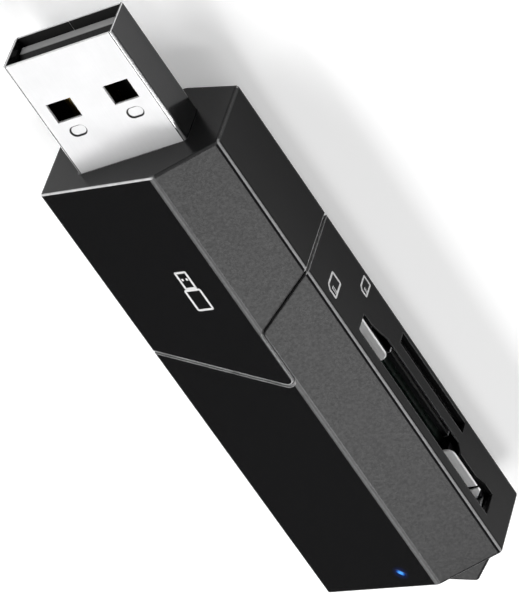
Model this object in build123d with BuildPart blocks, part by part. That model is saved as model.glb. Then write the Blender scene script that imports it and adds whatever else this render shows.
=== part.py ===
"""Memory card reader on a standard plug, built in millimetres.

The reader is drawn with its plug level: x runs across the body towards the card slots, y along it towards
the plug, z up from the middle plane, and y = 0 is the front face that the plug comes out of. The finished
pieces are then laid down on the wide facet under the body, the way the reader lies on a table.
"""
import os
from math import atan2, cos, degrees

from build123d import *

# Body: a six-sided bar, the same above and below its middle plane.
body_width = 19.9
body_length = 54.25
ridge_height = 13.2
ridge_offset = 3.35
slot_side_height = 8.2
blank_side_height = 7.2
slot_edge_round = 0.5
blank_edge_round = 0.2
ridge_round = 1.0
end_round = 0.25
wall = 0.8
front_wall = 1.5
rear_wall = 1.2

# Clearance between pieces that slide into each other.
fit = 0.05

# Seam between the two shells: how far it lies before the large slot on the slot side, where it meets the
# ridges and on the blank side, and how far its tips reach past the slot's start.
seam_slot_side_lead = 9.2
seam_ridge_lead = 5.4
seam_blank_side_lead = 4.9
seam_tip_reach = 1.8
seam_round = 0.9
seam_gap = 0.08
seam_groove = 0.1
seam_groove_depth = 0.2
collar_wall = 0.8
collar_length = 1.8

# Loop for a cord at the far end.
loop_length = 5.1
loop_thickness = 2.4
loop_bar = 1.7
loop_apex_shift = 0.4
loop_edge = 0.25

# Plug, with the outer sizes of the common standard.
plug_width = 12.0
plug_height = 4.5
plug_exposed = 13.2
plug_buried = 5.0
plug_sheet = 0.3
plug_corner = 0.36
plug_window_width = 2.7
plug_window_length = 2.25
plug_window_from_front = 5.1
plug_window_spacing = 6.3
plug_dimple_length = 1.75
plug_dimple_width = 1.2
plug_dimple_depth = 0.15
plug_dimple_slope = 40
plug_dimple_from_window = 2.0
plug_fold_gap = 0.08
plug_leg_length = 3.0
plug_leg_rise = 0.8
tongue_thickness = 1.95
tongue_recess = 0.75
tongue_side_gap = 0.25
tongue_chamfer = 0.5
tongue_block = 3.5
plug_contact_width = 1.0
plug_contact_thickness = 0.2
plug_contact_sink = 0.15
plug_contact_spacing_outer = 7.0
plug_contact_spacing_inner = 2.0
plug_contact_inset = 1.7
plug_contact_delay = 1.0
plug_contact_bend = 0.6
plug_contact_tail = 2.0

# Circuit board, lying just under the middle plane.
board_top = -0.6
board_thickness = 1.0
board_side_gap = 0.15
board_rear_gap = 0.2
board_shoulder = 9.0
rail_thickness = 0.7
rail_grip = 0.4
rail_start = 30.0
rail_length = 20.0

# Large card: slot in the side wall and its socket on top of the board.
large_card_width = 24.0
large_slot_from_end = 3.75
large_slot_margin = 0.55
large_slot_height = 2.3
large_slot_step = 0.03
large_slot_round = 0.2
large_scoop_start = 1.65
large_scoop_length = 17.3
large_scoop_lip = 0.16
large_scoop_ramp = 2.6
large_scoop_depth = 0.85
large_scoop_pit = 1.75
large_relief_length = 3.0
large_relief_depth = 0.58
large_back_room = 1.95
large_socket_wall = 1.0
large_floor_thickness = 0.93
large_card_gap = 0.2
large_cavity_height = 2.32
large_cover_sheet = 0.2
large_mouth_depth = 4.5
large_mouth_start = 5.7
large_mouth_length = 12.2
large_plate_thickness = 0.15
large_plate_depth = 4.0
large_plate_overhang = 0.4
large_plate_corner = 0.9
large_plate_notch = 0.5
large_contact_count = 9
large_contact_width = 0.8
large_contact_thickness = 0.15
large_contact_reach = 5.5
large_contact_crown = 0.7
large_contact_tail = 1.1

# Small card: slot lower in the same wall and its socket under the board.
small_card_width = 11.0
small_slot_from_end = 10.5
small_slot_margin = 0.675
small_slot_height = 1.45
small_slot_round = 0.2
small_socket_depth = 13.0
small_socket_wall = 0.8
small_socket_setback = 0.5
small_floor_thickness = 0.35
small_card_gap = 0.15
small_cavity_height = 1.35
small_cover_sheet = 0.15
small_contact_count = 8
small_contact_width = 0.6
small_contact_thickness = 0.15
small_contact_reach = 4.5
small_contact_crown = 0.5
small_contact_tail = 1.0

# Light window in the upper wide facet, a slanted slit near the far end, and the lamp under it.
light_across = 0.05
light_from_wall = 0.9
light_length = 1.0
light_width = 0.45
light_slant = -44.0
light_shoulder = 0.2
lamp_length = 1.0
lamp_width = 0.5
lamp_height = 0.45

# Small parts on the board, as place across, place back from the front face, and size.
chip_size = 5.0
chip_height = 0.85
chip_place = 15.5
chip_dot = 0.6
crystal_length = 3.2
crystal_width = 2.5
crystal_height = 0.7
crystal_from_edge = 2.75
chip_part_length = 1.0
chip_part_width = 0.5
capacitor_height = 0.5
resistor_height = 0.35
small_part_from_edge = 3.55
small_part_pitch = 1.3
small_part_count = 5

half_width = body_width / 2
inner_x = half_width - wall
facet_rise = (ridge_height - blank_side_height) / 2
facet_run = half_width + ridge_offset
facet_tilt = atan2(facet_rise, facet_run)
side_slope = (ridge_height - slot_side_height) / 2 / (half_width - ridge_offset)
side_tilt = atan2(side_slope, 1)
outside = ridge_height
large_slot_length = large_card_width + 2 * large_slot_margin
large_slot_start = body_length - large_slot_from_end - large_slot_length
seam_slot_side = large_slot_start - seam_slot_side_lead
seam_ridge = large_slot_start - seam_ridge_lead
seam_blank_side = large_slot_start - seam_blank_side_lead
seam_tip = large_slot_start + seam_tip_reach
blank_slope = (seam_tip - seam_blank_side) / facet_run
slot_slope = (seam_ridge - seam_slot_side) / (half_width - ridge_offset)
board_bottom = board_top - board_thickness
board_half = inner_x - fit - collar_wall - board_side_gap
board_start = plug_buried + fit
crystal_across = board_half - crystal_from_edge
small_part_across = board_half - small_part_from_edge
rail_reach = half_width - wall / 2 - board_half + rail_grip
board_end = body_length - rear_wall - board_rear_gap
plug_inner_width = plug_width - 2 * plug_sheet
plug_inner_height = plug_height - 2 * plug_sheet
tongue_top = tongue_thickness - plug_inner_height / 2
plug_contact_floor = tongue_top - plug_contact_sink
plug_contact_middle = plug_contact_floor + plug_contact_thickness / 2
plug_contact_knee = -(plug_buried + plug_contact_thickness)
plug_contact_foot = plug_contact_knee - fit - plug_contact_bend
plug_contact_rows = [(plug_contact_spacing_outer, 0.0), (plug_contact_spacing_inner, plug_contact_delay)]
window_y = plug_exposed - plug_window_from_front - plug_window_length / 2
dimple_y = window_y - plug_dimple_from_window - (plug_window_length - plug_dimple_width) / 2
large_cavity_width = large_card_width + 2 * large_card_gap
large_contact_pitch = large_card_width / 9.6
large_y = -(large_slot_start + large_slot_length / 2)
large_front = inner_x - fit
large_back = large_back_room - board_half
large_socket_depth = large_front - large_back
large_spring = large_back + large_socket_wall
large_floor = board_top + large_floor_thickness
large_slot_floor = large_floor - large_slot_step
large_roof = large_floor + large_cavity_height
large_near = large_y + large_cavity_width / 2 - fit
large_far = large_y - large_cavity_width / 2 + fit
large_mouth_near = -(large_slot_start + large_mouth_start)
large_plate_bevel = large_plate_thickness * 2 / 3
large_mouth_far = large_mouth_near - large_mouth_length
small_slot_length = small_card_width + 2 * small_slot_margin
small_cavity_width = small_card_width + 2 * small_card_gap
small_contact_pitch = small_card_width / 10
small_slot_start = body_length - small_slot_from_end - small_slot_length
small_y = -(small_slot_start + small_slot_length / 2)
small_floor = board_bottom - small_floor_thickness
small_slot_top = small_floor
small_roof = small_floor - small_cavity_height
small_reach = ridge_height / 2 - wall / cos(side_tilt) + small_roof - small_cover_sheet
small_reach = ridge_offset + small_reach / side_slope
small_front = min(small_reach, inner_x) - small_socket_setback
small_back = small_front - small_socket_depth
small_spring = small_back + small_socket_wall
light_y = -(body_length - rear_wall - light_from_wall)
lamp_top = board_top + lamp_height
light_seat = blank_side_height / 2 + (light_across - light_length + half_width) * facet_rise / facet_run
light_seat = light_seat - wall / cos(facet_tilt) - fit

corners = [
    (half_width, slot_side_height / 2),
    (ridge_offset, ridge_height / 2),
    (-half_width, blank_side_height / 2),
    (-half_width, -blank_side_height / 2),
    (ridge_offset, -ridge_height / 2),
    (half_width, -slot_side_height / 2),
]

# Section of the body, sharp for the inside and rounded for the outside.
with BuildSketch() as sharp_section:
    Polygon(*corners, align=None)
with BuildSketch() as round_section:
    add(sharp_section.sketch)
    fillet([v for v in round_section.vertices() if abs(v.X - ridge_offset) < wall / 8], ridge_round)
    fillet([v for v in round_section.vertices() if v.X > half_width - wall / 8], slot_edge_round)
    fillet([v for v in round_section.vertices() if v.X < wall / 8 - half_width], blank_edge_round)

# Plan of the front shell: straight over the two sides, slanted over the facets, stepped along the ridges.
with BuildSketch() as seam_plan:
    with BuildLine():
        FilletPolyline(
            (-half_width - outside, 2 * outside),
            (-half_width - outside, outside * blank_slope - seam_blank_side),
            (ridge_offset, -seam_tip),
            (ridge_offset, -seam_ridge),
            (half_width + outside, outside * slot_slope - seam_slot_side),
            (half_width + outside, 2 * outside),
            radius=seam_round,
            close=True,
        )
    make_face()

# Collar of the front shell that slides into the rear one.
with BuildPart() as collar:
    with BuildSketch(Plane.XZ.offset(front_wall)):
        add(sharp_section.sketch)
        offset(amount=-(wall + fit), kind=Kind.INTERSECTION)
    extrude(amount=seam_tip + collar_length)
    with BuildSketch(Plane((0, -collar_length, 0))):
        add(seam_plan.sketch)
    extrude(amount=outside, both=True, mode=Mode.INTERSECT)

# Sunk edges of the two shells, which leave a fine groove along the seam.
with BuildPart() as front_sunk_edge:
    with BuildSketch(Plane.XZ.offset(front_wall)):
        add(sharp_section.sketch)
        offset(amount=-seam_groove_depth, kind=Kind.INTERSECTION)
    extrude(amount=seam_tip + outside)
    with BuildSketch(Plane.XY):
        add(seam_plan.sketch)
    extrude(amount=outside, both=True, mode=Mode.INTERSECT)

with BuildPart() as rear_sunk_edge:
    with BuildSketch(Plane.XZ.offset(seam_slot_side / 2)):
        add(sharp_section.sketch)
        offset(amount=-seam_groove_depth, kind=Kind.INTERSECTION)
    extrude(amount=body_length - rear_wall / 2 - seam_slot_side / 2)
    with BuildSketch(Plane.XY):
        add(seam_plan.sketch)
        offset(amount=seam_gap)
    extrude(amount=outside, both=True, mode=Mode.SUBTRACT)

with BuildPart() as front_shell:
    with BuildSketch(Plane.XZ):
        add(round_section.sketch)
    extrude(amount=seam_tip + outside)
    fillet(front_shell.faces().sort_by(Axis.Y)[-1].edges(), end_round)
    with BuildSketch(Plane.XY):
        add(seam_plan.sketch)
        offset(amount=-seam_groove)
    extrude(amount=outside, both=True, mode=Mode.INTERSECT)
    add(front_sunk_edge.part)
    add(collar.part)
    with BuildSketch(Plane.XZ.offset(front_wall)):
        add(sharp_section.sketch)
        offset(amount=-(wall + fit + collar_wall), kind=Kind.INTERSECTION)
    extrude(amount=seam_tip + outside, mode=Mode.SUBTRACT)
    with BuildSketch(Plane.XZ):
        RectangleRounded(plug_width + 2 * fit, plug_height + 2 * fit, plug_corner + fit)
    extrude(amount=front_wall, mode=Mode.SUBTRACT)

# Finger scoop, from its end nearest the plug: it slopes down slowly there and steeply at the other end.
scoop_side = [
    (0, large_slot_height / 2),
    (0, 0),
    (-large_scoop_ramp, -large_scoop_depth),
    (large_scoop_depth - large_scoop_length, -large_scoop_depth),
    (-large_scoop_length, 0),
    (-large_scoop_length, large_slot_height / 2),
]
scoop_plan = [
    (0, 0),
    (-2 * wall, -large_scoop_ramp),
    (-2 * wall, -large_scoop_length),
    (0, -large_scoop_length),
]

# Pointed loop for a cord, one piece with the rear shell.
loop_apex = (ridge_offset + loop_apex_shift, -(body_length + loop_length))
loop_left = -half_width + blank_edge_round
loop_right = half_width - slot_edge_round
loop_stretch = (loop_length + loop_bar) / loop_length
with BuildPart() as cord_loop:
    with BuildSketch(Plane.XY.offset(-loop_thickness / 2)):
        Polygon(
            (loop_left, -(body_length - rear_wall / 2)),
            (loop_left, -body_length),
            loop_apex,
            (loop_right, -body_length),
            (loop_right, -(body_length - rear_wall / 2)),
            align=None,
        )
    extrude(amount=loop_thickness)
    fillet(cord_loop.edges().filter_by(Axis.Z).sort_by(Axis.Y)[0], 2 * loop_edge)
    fillet(cord_loop.edges().filter_by(Plane.XY), loop_edge)
    with BuildSketch(Plane.XY.offset(-loop_thickness / 2)) as loop_hole:
        Polygon(
            loop_apex,
            (loop_apex[0] + (loop_right - loop_apex[0]) * loop_stretch, loop_bar - body_length),
            (loop_apex[0] + (loop_left - loop_apex[0]) * loop_stretch, loop_bar - body_length),
            align=None,
        )
        offset(amount=-loop_bar, kind=Kind.INTERSECTION)
        fillet(loop_hole.vertices(), loop_edge)
    extrude(amount=loop_thickness, mode=Mode.SUBTRACT)

with BuildPart() as rear_shell:
    with BuildSketch(Plane.XZ.offset(seam_slot_side / 2)):
        add(round_section.sketch)
    extrude(amount=body_length - seam_slot_side / 2)
    fillet(rear_shell.faces().sort_by(Axis.Y)[0].edges(), end_round)
    with BuildSketch(Plane.XY):
        add(seam_plan.sketch)
        offset(amount=seam_gap + seam_groove)
    extrude(amount=outside, both=True, mode=Mode.SUBTRACT)
    add(rear_sunk_edge.part)
    add(cord_loop.part)
    with BuildSketch(Plane.XZ.offset(seam_slot_side / 2)):
        add(sharp_section.sketch)
        offset(amount=-wall, kind=Kind.INTERSECTION)
    extrude(amount=body_length - rear_wall - seam_slot_side / 2, mode=Mode.SUBTRACT)
    # Rails that hold the edge of the board on the blank side.
    with BuildSketch(Plane.XZ.offset(rail_start)):
        with Locations((-half_width + wall / 2, board_top + fit)):
            Rectangle(rail_reach, rail_thickness, align=(Align.MIN, Align.MIN))
        with Locations((-half_width + wall / 2, board_bottom - fit)):
            Rectangle(rail_reach, rail_thickness, align=(Align.MIN, Align.MAX))
    extrude(amount=rail_length)
    # Card slots in the side wall, with a scoop for a finger in the lower lip of the large one.
    with BuildSketch(Plane.YZ.offset(half_width)):
        with Locations((large_y, large_slot_floor + large_slot_height / 2)):
            RectangleRounded(large_slot_length, large_slot_height, large_slot_round)
        with Locations((small_y, small_slot_top - small_slot_height / 2)):
            RectangleRounded(small_slot_length, small_slot_height, small_slot_round)
        with Locations((-(large_slot_start + large_scoop_start), large_slot_floor)):
            Polygon(*scoop_side, align=None)
        with Locations((-(large_slot_start + large_slot_length), large_slot_floor)):
            Polygon(
                (0, large_slot_height / 2),
                (0, -large_relief_depth),
                (large_relief_length / 2, -large_relief_depth),
                (large_relief_length, 0),
                (large_relief_length, large_slot_height / 2),
                align=None,
            )
    extrude(amount=-2 * wall, mode=Mode.SUBTRACT)
    # Pit behind the edge of the finger scoop.
    with BuildSketch(Plane.XY.offset(large_slot_floor - large_scoop_pit)):
        with Locations((half_width - large_scoop_lip, -(large_slot_start + large_scoop_start))):
            Polygon(*scoop_plan, align=None)
    extrude(amount=large_scoop_pit + large_slot_height / 2, mode=Mode.SUBTRACT)
    # Slit for the light window.
    with BuildSketch(Plane.XY):
        with Locations((light_across, light_y)):
            SlotOverall(light_length + 2 * fit, light_width + 2 * fit, rotation=light_slant)
    extrude(amount=outside, mode=Mode.SUBTRACT)

with BuildPart() as plug_shell:
    with BuildSketch(Plane.XZ.offset(-plug_exposed)):
        RectangleRounded(plug_width, plug_height, plug_corner)
        RectangleRounded(plug_inner_width, plug_inner_height, plug_corner - plug_sheet, mode=Mode.SUBTRACT)
    extrude(amount=plug_exposed + plug_buried)
    with BuildSketch(Plane.XY):
        with GridLocations(plug_window_spacing, 0, 2, 1):
            with Locations((0, window_y)):
                Rectangle(plug_window_width, plug_window_length)
    extrude(amount=plug_height, both=True, mode=Mode.SUBTRACT)
    with BuildSketch(Plane.XY.offset(plug_height / 2)):
        with GridLocations(plug_window_spacing, 0, 2, 1):
            with Locations((0, dimple_y)):
                SlotOverall(plug_dimple_length, plug_dimple_width)
    extrude(amount=-plug_dimple_depth, taper=plug_dimple_slope, mode=Mode.SUBTRACT)
    # Joint of the folded sheet, under the plug.
    with BuildSketch(Plane.XY.offset(-plug_height / 2)):
        Rectangle(plug_fold_gap, 2 * (plug_exposed + plug_buried))
    extrude(amount=plug_sheet, mode=Mode.SUBTRACT)
    # Legs that straddle the board.
    with BuildSketch(Plane.XZ.offset(plug_buried)):
        with GridLocations(plug_width - plug_sheet, 0, 2, 1):
            with Locations((0, board_bottom)):
                Rectangle(plug_sheet, board_thickness + plug_leg_rise, align=(Align.CENTER, Align.MIN))
    extrude(amount=plug_leg_length)

with BuildPart() as plug_tongue:
    with BuildSketch(Plane.XZ.offset(tongue_recess - plug_exposed)):
        with Locations((0, -plug_inner_height / 2)):
            Rectangle(plug_inner_width - 2 * tongue_side_gap, tongue_thickness,
                      align=(Align.CENTER, Align.MIN))
    extrude(amount=plug_exposed - tongue_recess + plug_buried - tongue_block)
    chamfer(plug_tongue.faces().sort_by(Axis.Y)[-1].edges().filter_by(Axis.X), tongue_chamfer)
    with BuildSketch(Plane.XZ.offset(plug_buried - tongue_block)):
        RectangleRounded(plug_inner_width - 2 * fit, plug_inner_height, plug_corner - plug_sheet)
    extrude(amount=tongue_block)
    # Channels for the four contacts, open on the blade and closed in the block.
    for spacing, inset in plug_contact_rows:
        with BuildSketch(Plane.XZ.offset(plug_contact_inset + inset - plug_exposed)):
            with GridLocations(spacing, 0, 2, 1):
                with Locations((0, plug_contact_floor)):
                    Rectangle(plug_contact_width + 2 * fit, plug_contact_thickness + fit,
                              align=(Align.CENTER, Align.MIN))
        extrude(amount=plug_exposed + plug_buried, mode=Mode.SUBTRACT)

plug_contacts = []
for spacing, inset in plug_contact_rows:
    for side in (-1, 1):
        with BuildPart() as plug_contact:
            with BuildSketch(Plane.YZ.offset(side * spacing / 2)):
                with BuildLine():
                    Polyline(
                        (plug_exposed - plug_contact_inset - inset, plug_contact_middle),
                        (plug_contact_knee, plug_contact_middle),
                        (plug_contact_foot, board_top + plug_contact_thickness / 2),
                        (plug_contact_foot - plug_contact_tail, board_top + plug_contact_thickness / 2),
                    )
                trace(line_width=plug_contact_thickness)
            extrude(amount=plug_contact_width / 2, both=True)
        plug_contacts.append((side * spacing, plug_contact))
plug_contacts.sort(key=lambda row: row[0])

with BuildPart() as circuit_board:
    with BuildSketch(Plane.XY.offset(board_bottom)):
        with Locations((0, -board_end)):
            Rectangle(2 * board_half, board_end - board_shoulder, align=(Align.CENTER, Align.MIN))
            Rectangle(plug_inner_width - 2 * fit, board_end - board_start, align=(Align.CENTER, Align.MIN))
    extrude(amount=board_thickness)

# Socket of the large card: moulded base, folded cover, two plates at the mouth and a row of springs.
with BuildPart() as large_base:
    with BuildSketch(Plane.XY.offset(board_top)):
        with Locations((large_back, large_y)):
            Rectangle(large_socket_depth, large_near - large_far, align=(Align.MIN, Align.CENTER))
        with Locations((large_front, large_mouth_near)):
            Rectangle(large_mouth_depth, large_mouth_length, align=(Align.MAX, Align.MAX), mode=Mode.SUBTRACT)
        with Locations((large_spring, large_y)):
            Rectangle(large_contact_reach + large_socket_wall / 2,
                      large_contact_count * large_contact_pitch,
                      align=(Align.MIN, Align.CENTER), mode=Mode.SUBTRACT)
    extrude(amount=large_floor_thickness)
    with BuildSketch(Plane.XY.offset(board_top)):
        with Locations((large_back, large_y)):
            Rectangle(large_socket_wall, large_near - large_far, align=(Align.MIN, Align.CENTER))
    extrude(amount=large_floor_thickness + large_cavity_height - fit)
    with BuildSketch(Plane.YZ.offset(large_back)):
        with Locations((large_y, board_top)):
            with GridLocations(large_contact_pitch, 0, large_contact_count, 1):
                Rectangle(large_contact_width + 2 * fit, large_contact_thickness + fit,
                          align=(Align.CENTER, Align.MIN))
    extrude(amount=large_socket_wall, mode=Mode.SUBTRACT)

with BuildPart() as large_cover:
    with BuildSketch(Plane.YZ.offset(large_back)):
        with Locations((large_y, board_top)):
            Rectangle(large_cavity_width + 2 * large_cover_sheet, large_roof + large_cover_sheet - board_top,
                      align=(Align.CENTER, Align.MIN))
            Rectangle(large_cavity_width, large_roof - board_top,
                      align=(Align.CENTER, Align.MIN), mode=Mode.SUBTRACT)
    extrude(amount=large_socket_depth)

with BuildPart() as large_plate_near:
    with BuildSketch(Plane.XY.offset(large_floor)):
        with Locations((large_front + large_plate_overhang, large_near)):
            Rectangle(large_plate_depth, large_near - large_mouth_near, align=(Align.MAX, Align.MAX))
    extrude(amount=large_plate_thickness)
    near_corner = large_plate_near.edges().filter_by(Axis.Z).sort_by(Axis.X)[-2:].sort_by(Axis.Y)[0]
    fillet(near_corner, large_plate_corner)
    chamfer(large_plate_near.faces().sort_by(Axis.X)[-1].edges().sort_by(Axis.Z)[-1], large_plate_bevel)

with BuildPart() as large_plate_far:
    with BuildSketch(Plane.XY.offset(large_floor)):
        with Locations((large_front + large_plate_overhang, large_far)):
            Rectangle(large_plate_depth, large_mouth_far - large_far, align=(Align.MAX, Align.MIN))
    extrude(amount=large_plate_thickness)
    far_corner = large_plate_far.edges().filter_by(Axis.Z).sort_by(Axis.X)[-2:].sort_by(Axis.Y)[-1]
    fillet(far_corner, large_plate_corner)
    chamfer(large_plate_far.faces().sort_by(Axis.X)[-1].edges().sort_by(Axis.Z)[-1], large_plate_bevel)
    # The far plate is slit near its end, and its last bit tapers.
    with BuildSketch(Plane.XY.offset(large_floor)):
        with Locations((large_front + large_plate_overhang, large_far + 3 * large_plate_notch)):
            Polygon((0, large_plate_notch / 4), (-large_plate_depth / 2, large_plate_notch),
                    (-large_plate_depth / 2, -large_plate_notch / 4), (0, -large_plate_notch / 4), align=None)
        with Locations((large_front + large_plate_overhang, large_far)):
            Polygon((0, 0), (0, 2 * large_plate_notch), (-large_plate_depth / 4, 0), align=None)
    extrude(amount=large_plate_thickness, mode=Mode.SUBTRACT)

large_contacts = []
for index in range(large_contact_count):
    place = large_y + ((large_contact_count - 1) / 2 - index) * large_contact_pitch
    with BuildPart() as large_contact:
        with BuildSketch(Plane.XZ.offset(-place)):
            with BuildLine():
                Polyline(
                    (large_back - large_contact_tail, board_top + large_contact_thickness / 2),
                    (large_spring, board_top + large_contact_thickness / 2),
                    (large_spring + 0.8 * large_contact_reach, large_floor + large_contact_crown),
                    (large_spring + large_contact_reach, large_floor + large_contact_crown / 2),
                )
            trace(line_width=large_contact_thickness)
        extrude(amount=large_contact_width / 2, both=True)
    large_contacts.append(large_contact)

# Socket of the small card, hanging under the board.
with BuildPart() as small_base:
    with BuildSketch(Plane.XY.offset(board_bottom)):
        with Locations((small_back, small_y)):
            Rectangle(small_socket_depth, small_cavity_width - 2 * fit, align=(Align.MIN, Align.CENTER))
        with Locations((small_spring, small_y)):
            Rectangle(small_contact_reach + small_socket_wall / 2,
                      small_contact_count * small_contact_pitch,
                      align=(Align.MIN, Align.CENTER), mode=Mode.SUBTRACT)
    extrude(amount=-small_floor_thickness)
    with BuildSketch(Plane.XY.offset(board_bottom)):
        with Locations((small_back, small_y)):
            Rectangle(small_socket_wall, small_cavity_width - 2 * fit, align=(Align.MIN, Align.CENTER))
    extrude(amount=-(small_floor_thickness + small_cavity_height - fit))
    with BuildSketch(Plane.YZ.offset(small_back)):
        with Locations((small_y, board_bottom)):
            with GridLocations(small_contact_pitch, 0, small_contact_count, 1):
                Rectangle(small_contact_width + 2 * fit, small_contact_thickness + fit,
                          align=(Align.CENTER, Align.MAX))
    extrude(amount=small_socket_wall, mode=Mode.SUBTRACT)

with BuildPart() as small_cover:
    with BuildSketch(Plane.YZ.offset(small_back)):
        with Locations((small_y, board_bottom)):
            Rectangle(small_cavity_width + 2 * small_cover_sheet,
                      board_bottom - small_roof + small_cover_sheet, align=(Align.CENTER, Align.MAX))
            Rectangle(small_cavity_width, board_bottom - small_roof,
                      align=(Align.CENTER, Align.MAX), mode=Mode.SUBTRACT)
    extrude(amount=small_socket_depth)

small_contacts = []
for index in range(small_contact_count):
    place = small_y + ((small_contact_count - 1) / 2 - index) * small_contact_pitch
    with BuildPart() as small_contact:
        with BuildSketch(Plane.XZ.offset(-place)):
            with BuildLine():
                Polyline(
                    (small_back - small_contact_tail, board_bottom - small_contact_thickness / 2),
                    (small_spring, board_bottom - small_contact_thickness / 2),
                    (small_spring + 0.8 * small_contact_reach, small_floor - small_contact_crown),
                    (small_spring + small_contact_reach, small_floor - small_contact_crown / 2),
                )
            trace(line_width=small_contact_thickness)
        extrude(amount=small_contact_width / 2, both=True)
    small_contacts.append(small_contact)

# Parts soldered on top of the board between the plug and the large socket.
with BuildPart() as controller_chip:
    with BuildSketch(Plane.XY.offset(board_top)):
        with Locations((0, -chip_place)):
            Rectangle(chip_size, chip_size)
    extrude(amount=chip_height)
    with BuildSketch(Plane.XY.offset(board_top + chip_height)):
        with Locations((chip_dot - chip_size / 2, chip_size / 2 - chip_dot - chip_place)):
            Circle(chip_dot / 2)
    extrude(amount=-chip_height / 8, mode=Mode.SUBTRACT)

with BuildPart() as crystal:
    with BuildSketch(Plane.XY.offset(board_top)):
        with Locations((-crystal_across, -chip_place)):
            RectangleRounded(crystal_width, crystal_length, crystal_width / 6)
    extrude(amount=crystal_height)

with BuildPart() as capacitors:
    with BuildSketch(Plane.XY.offset(board_top)):
        with Locations((small_part_across, -chip_place)):
            with GridLocations(0, small_part_pitch, 1, small_part_count):
                Rectangle(chip_part_length, chip_part_width)
    extrude(amount=capacitor_height)

with BuildPart() as resistors:
    with BuildSketch(Plane.XY.offset(board_top)):
        with Locations((small_part_across + 1.5 * chip_part_length, -chip_place)):
            with GridLocations(0, small_part_pitch, 1, small_part_count):
                Rectangle(chip_part_length, chip_part_width)
    extrude(amount=resistor_height)

with BuildPart() as activity_lamp:
    with BuildSketch(Plane.XY.offset(board_top)):
        with Locations((light_across, light_y)):
            Rectangle(lamp_length, lamp_width)
    extrude(amount=lamp_height)

# Clear pin from the lamp to the slit, cut flush with the facet and shouldered under the shell.
with BuildPart() as light_window:
    with BuildSketch(Plane.XY.offset(lamp_top)):
        with Locations((light_across, light_y)):
            SlotOverall(light_length, light_width, rotation=light_slant)
    extrude(amount=outside)
    with BuildSketch(Plane.XZ):
        add(round_section.sketch)
    extrude(amount=body_length, mode=Mode.INTERSECT)
    with BuildSketch(Plane.XY.offset(lamp_top)):
        with Locations((light_across, light_y)):
            SlotOverall(light_length + 2 * light_shoulder, light_width + 2 * light_shoulder,
                        rotation=light_slant)
    extrude(amount=light_seat - lamp_top)

front_shell.part.label = "front_shell"
rear_shell.part.label = "rear_shell"
plug_shell.part.label = "plug_shell"
plug_tongue.part.label = "plug_tongue"
circuit_board.part.label = "circuit_board"
large_base.part.label = "large_socket_base"
large_cover.part.label = "large_socket_cover"
large_plate_near.part.label = "large_socket_plate_near"
large_plate_far.part.label = "large_socket_plate_far"
small_base.part.label = "small_socket_base"
small_cover.part.label = "small_socket_cover"
controller_chip.part.label = "controller_chip"
crystal.part.label = "crystal"
capacitors.part.label = "capacitors"
resistors.part.label = "resistors"
activity_lamp.part.label = "activity_lamp"
light_window.part.label = "light_window"
for number, row in enumerate(plug_contacts, 1):
    row[1].part.label = f"plug_contact_{number}"
for number, contact in enumerate(large_contacts, 1):
    contact.part.label = f"large_contact_{number}"
for number, contact in enumerate(small_contacts, 1):
    contact.part.label = f"small_contact_{number}"

pieces = [
    front_shell, rear_shell, plug_shell, plug_tongue, circuit_board,
    large_base, large_cover, large_plate_near, large_plate_far, small_base, small_cover,
    controller_chip, crystal, capacitors, resistors, activity_lamp, light_window,
]
pieces += [row[1] for row in plug_contacts] + large_contacts + small_contacts

# Lay the reader on its wide facet: turn it about its length, then centre it over the origin on z = 0.
tilt = Location((0, 0, 0), (0, -degrees(facet_tilt), 0))
lying = Compound(children=[piece.part.moved(tilt) for piece in (front_shell, rear_shell, plug_shell)])
box = lying.bounding_box()
lay_down = Location((-box.center().X, -box.center().Y, -box.min.Z)) * tilt

os.makedirs("parts", exist_ok=True)
for piece in pieces:
    placed = piece.part.moved(lay_down)
    placed.label = piece.part.label
    export_step(placed, f"parts/{piece.part.label}.step")
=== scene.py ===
import math

import bmesh
import bpy
from mathutils import Matrix, Vector


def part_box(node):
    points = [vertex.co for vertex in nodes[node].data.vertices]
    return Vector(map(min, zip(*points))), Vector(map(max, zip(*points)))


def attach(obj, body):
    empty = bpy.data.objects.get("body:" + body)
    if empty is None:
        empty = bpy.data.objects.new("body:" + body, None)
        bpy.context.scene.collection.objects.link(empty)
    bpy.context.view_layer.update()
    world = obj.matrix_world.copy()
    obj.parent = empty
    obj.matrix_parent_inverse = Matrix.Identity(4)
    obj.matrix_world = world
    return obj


bl_info = {
    "name": "Memory Card Reader",
    "version": (1, 0, 0),
    "blender": (4, 5, 0),
    "location": "3D View > Sidebar > Card Reader",
    "description": "Finishes, printed marks, studio and camera for a memory card reader on a plug",
    "category": "Object",
}

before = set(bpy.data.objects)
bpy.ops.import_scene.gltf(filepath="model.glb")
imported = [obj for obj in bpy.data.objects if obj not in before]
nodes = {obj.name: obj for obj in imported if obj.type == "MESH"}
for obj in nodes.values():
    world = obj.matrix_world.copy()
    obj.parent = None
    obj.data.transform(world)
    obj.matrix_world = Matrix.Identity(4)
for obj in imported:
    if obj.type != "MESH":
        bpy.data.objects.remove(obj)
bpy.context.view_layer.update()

MM = 0.001


def nodes_like(*starts):
    """CAD nodes whose names begin with one of the given words."""
    found = [nodes[name] for name in sorted(nodes) if name.startswith(starts)]
    if not found:
        raise RuntimeError(f"the packed part has no node that begins with {starts}")
    return found


# Sizes and colours


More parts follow.
